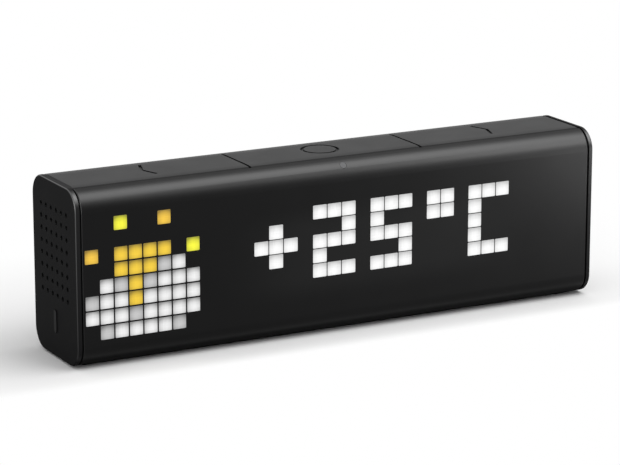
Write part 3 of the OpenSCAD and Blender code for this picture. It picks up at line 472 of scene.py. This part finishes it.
def finish_nodes():
    """Each CAD node's material, by the record's slot."""
    tables = ((moulded, MOULDED), (metal, METALS), (circuit, BOARDS), (woven, CLOTHS), (striped, RIBBONS))
    looks = {}
    for finish, table in tables:
        looks.update({name: finish(name, **values) for name, values in table.items()})
    add_painted_halo(looks["smoked_front"])
    for part in frame["record"]["subparts"]:
        mesh = frame["nodes"][part["node"]].data
        mesh.materials.clear()
        mesh.materials.append(looks[part["material_slot"]])


def add_object(name, data):
    """A new object in the scene."""
    made = bpy.data.objects.new(name, data)
    bpy.context.scene.collection.objects.link(made)
    return made


def add_mesh(name, bm, mat):
    """A new object from a bmesh, which is freed, with its material."""
    mesh = bpy.data.meshes.new(name)
    bm.to_mesh(mesh)
    bm.free()
    mesh.materials.append(mat)
    return add_object(name, mesh)


def rounded_square(half_x, half_z):
    """Corner points of a tile with round corners, in order."""
    points = []
    for quarter, (sx, sz) in enumerate(((1, 1), (-1, 1), (-1, -1), (1, -1))):
        for step in range(TILE_STEPS + 1):
            turn = math.pi / 2 * (quarter + step / TILE_STEPS)
            points.append((sx * (half_x - TILE_ROUND) + TILE_ROUND * math.cos(turn),
                           sz * (half_z - TILE_ROUND) + TILE_ROUND * math.sin(turn)))
    return points


def add_tile(bm, uv, glow, centre, half, colour, face_y):
    """One lit pixel: a thin slab with round corners, lying in the front face."""
    outline = rounded_square(*half)
    rings = []
    for y in (face_y + TILE_SUNK, face_y - TILE_PROUD):
        rings.append([bm.verts.new(((centre[0] + x) * MM, y * MM, (centre[1] + z) * MM)) for x, z in outline])
    inner, outer = rings
    faces = [bm.faces.new(outer), bm.faces.new(list(reversed(inner)))]
    for i in range(len(outer)):
        j = (i + 1) % len(outer)
        faces.append(bm.faces.new((inner[i], inner[j], outer[j], outer[i])))
    for face in faces:
        for loop in face.loops:
            x = loop.vert.co.x / MM - centre[0]
            z = loop.vert.co.z / MM - centre[1]
            loop[uv].uv = (0.5 + x / (2 * half[0]), 0.5 + z / (2 * half[1]))
            loop[glow] = (*colour, 1)


def tile_piece(name, cells, mat, pitch, corner, fill):
    """One piece with a tile for each lit cell of a block: cells maps (column, row) to a colour."""
    face_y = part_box("front_shell")[0].y / MM
    bm = bmesh.new()
    uv = bm.loops.layers.uv.new("tile")
    glow = bm.loops.layers.float_color.new("glow")
    half = (pitch[0] * fill / 2, pitch[1] * fill / 2)
    for (column, row), colour in sorted(cells.items()):
        centre = (corner[0] + (column + 0.5) * pitch[0], corner[1] - (row + 0.5) * pitch[1])
        add_tile(bm, uv, glow, centre, half, colour, face_y)
    bmesh.ops.recalc_face_normals(bm, faces=bm.faces)
    piece = add_mesh(name, bm, mat)
    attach(piece, "housing")


def lit_pixel(name, bright, fall, least):
    """Light of a pixel: its own colour, brightest at a place on the tile and weaker away from it.

    bright is that place in shares of the tile, fall the loss at half a tile sideways and upwards.
    """
    mat, tree, bsdf = shader(name, Base_Color=TILE_BASE, Roughness=TILE_ROUGH,
                             Specular_IOR_Level=TILE_SPECULAR)
    colour = make_node(tree, "ShaderNodeVertexColor", {"layer_name": "glow"}).outputs["Color"]
    where = make_node(tree, "ShaderNodeUVMap", {"uv_map": "tile"}).outputs["UV"]
    away = vector_calc(tree, "SUBTRACT", where, (*bright, 0))
    away = vector_calc(tree, "MULTIPLY", away, (*(2 * math.sqrt(share) for share in fall), 0))
    loss = vector_calc(tree, "DOT_PRODUCT", away, away)
    level = ramp(tree, loss, 0.0, 1.0 - least, 1.0, least)
    for scale in ((1, 1, FIBRE_STRETCH), (FIBRE_STRETCH, 1, 1)):
        fibres = noise(tree, FIBRE_SIZE, vector=stretched(tree, scale))
        level = product(tree, level, spread(tree, fibres, *FIBRE_TONES))
    tree.links.new(level, bsdf.inputs["Emission Strength"])
    tree.links.new(colour, bsdf.inputs["Emission Color"])
    return mat


def reading_cells():
    """Lit cells of the reading, from left to right with one dark column between signs."""
    cells = {}
    column = 0
    for sign in READING:
        rows = GLYPHS[sign]
        for row, line in enumerate(rows):
            for i, mark in enumerate(line):
                if mark == "#":
                    cells[column + i, row] = WHITE
        column += len(rows[0]) + 1
    return cells


def icon_cells():
    """Lit cells of the weather figure: cloud, its shaded edge, sun and rays."""
    cells = {}
    for spans, colour in ((CLOUD, CLOUD_WHITE), (SUN, SUN_YELLOW)):
        for row, (first, last) in spans.items():
            cells.update({(column, row): colour for column in range(first, last + 1)})
    for group, colour in ((CLOUD_SHADE, CLOUD_GREY), (LIME_RAYS, RAY_LIME), (ORANGE_RAYS, RAY_ORANGE)):
        cells.update({cell: colour for cell in group})
    return cells


def build_display():
    """The reading and the weather figure, as two pieces of lit tiles."""
    tile_piece("reading_pixels", reading_cells(), lit_pixel("lit_reading", **READING_LIGHT), **READING_BLOCK)
    tile_piece("icon_pixels", icon_cells(), lit_pixel("lit_icon", **ICON_LIGHT), **ICON_BLOCK)


def seen_ray(tree):
    """1 for rays from the camera, and for those that a gloss or glass sends on."""
    path = make_node(tree, "ShaderNodeLightPath")
    total = path.outputs["Is Camera Ray"]
    for other in ("Is Glossy Ray", "Is Transmission Ray"):
        total = calc(tree, "MAXIMUM", total, path.outputs[other])
    return total


def build_world():
    """White background, which lights the scene at a lower level than it shows."""
    world = bpy.data.worlds.new("studio")
    world.use_nodes = True
    bpy.context.scene.world = world
    tree = world.node_tree
    back = tree.nodes["Background"]
    back.inputs["Color"].default_value = (1, 1, 1, 1)
    tree.links.new(spread(tree, seen_ray(tree), WORLD_LEVEL, 1.0), back.inputs["Strength"])


def build_floor():
    """Pale floor that keeps the shadow near the object and runs out to white."""
    mat, tree, bsdf = shader("floor")
    tree.nodes.remove(bsdf)
    lit = make_node(tree, "ShaderNodeBsdfDiffuse", Color=(FLOOR_TONE, FLOOR_TONE, FLOOR_TONE, 1))
    white = make_node(tree, "ShaderNodeEmission", Color=(1, 1, 1, 1), Strength=1.0)
    low, high = cad_box
    total = 0.0
    for axis, edge, end in (("X", low.x, low.x - FADE_SIDE), ("X", high.x, high.x + FADE_SIDE),
                            ("Y", low.y, low.y - FADE_FRONT), ("Y", high.y, high.y + FADE_BACK)):
        away = ramp(tree, axis_of(tree, place(tree), axis), edge, end)
        total = calc(tree, "ADD", total, squared(tree, away))
    share = ramp(tree, total, 0.0, 1.0, smooth=True)
    mix = make_node(tree, "ShaderNodeMixShader")
    tree.links.new(product(tree, share, seen_ray(tree)), mix.inputs["Fac"])
    tree.links.new(lit.outputs["BSDF"], mix.inputs[1])
    tree.links.new(white.outputs["Emission"], mix.inputs[2])
    tree.links.new(mix.outputs["Shader"], tree.nodes["Material Output"].inputs["Surface"])
    bm = bmesh.new()
    bmesh.ops.create_grid(bm, x_segments=1, y_segments=1, size=FLOOR_HALF)
    floor = add_mesh("floor", bm, mat)
    return floor


def look(seer, at_mm, direction):
    """Puts a lamp or camera at a point and turns it to look in a direction."""
    seer.location = Vector(at_mm) * MM
    seer.rotation_mode = "QUATERNION"
    seer.rotation_quaternion = direction.to_track_quat("-Z", "Y")


def softbox(name, floor, at, aim, size, watts, on_floor):
    """Rectangular soft light at one point that looks at another; it passes over the floor unless on_floor."""
    data = bpy.data.lights.new(name, "AREA")
    data.shape = "RECTANGLE"
    data.size, data.size_y = size
    data.energy = watts
    lamp = add_object(name, data)
    lamp.visible_camera = False
    look(lamp, at, Vector(aim) - Vector(at))
    if not on_floor:
        passed = bpy.data.collections.new(name + "_passes")
        passed.objects.link(floor)
        passed.collection_objects[0].light_linking.link_state = "EXCLUDE"
        lamp.light_linking.receiver_collection = passed


def build_camera():
    """The photograph's camera."""
    data = bpy.data.cameras.new("camera")
    data.sensor_width = CAMERA_SENSOR
    data.lens = CAMERA_LENS
    data.clip_start, data.clip_end = CAMERA_CLIP
    camera = add_object("camera", data)
    azimuth, elevation = math.radians(CAMERA_AZIMUTH), math.radians(CAMERA_ELEVATION)
    back = Vector((math.sin(azimuth) * math.cos(elevation), -math.cos(azimuth) * math.cos(elevation),
                   math.sin(elevation)))
    look(camera, CAMERA_AT, -back)
    bpy.context.scene.camera = camera


finish_nodes()
build_display()
build_world()
studio_floor = build_floor()
for lamp_name, lamp_values in LAMPS.items():
    softbox(lamp_name, studio_floor, **lamp_values)
build_camera()
bpy.context.scene.view_settings.view_transform = "Standard"
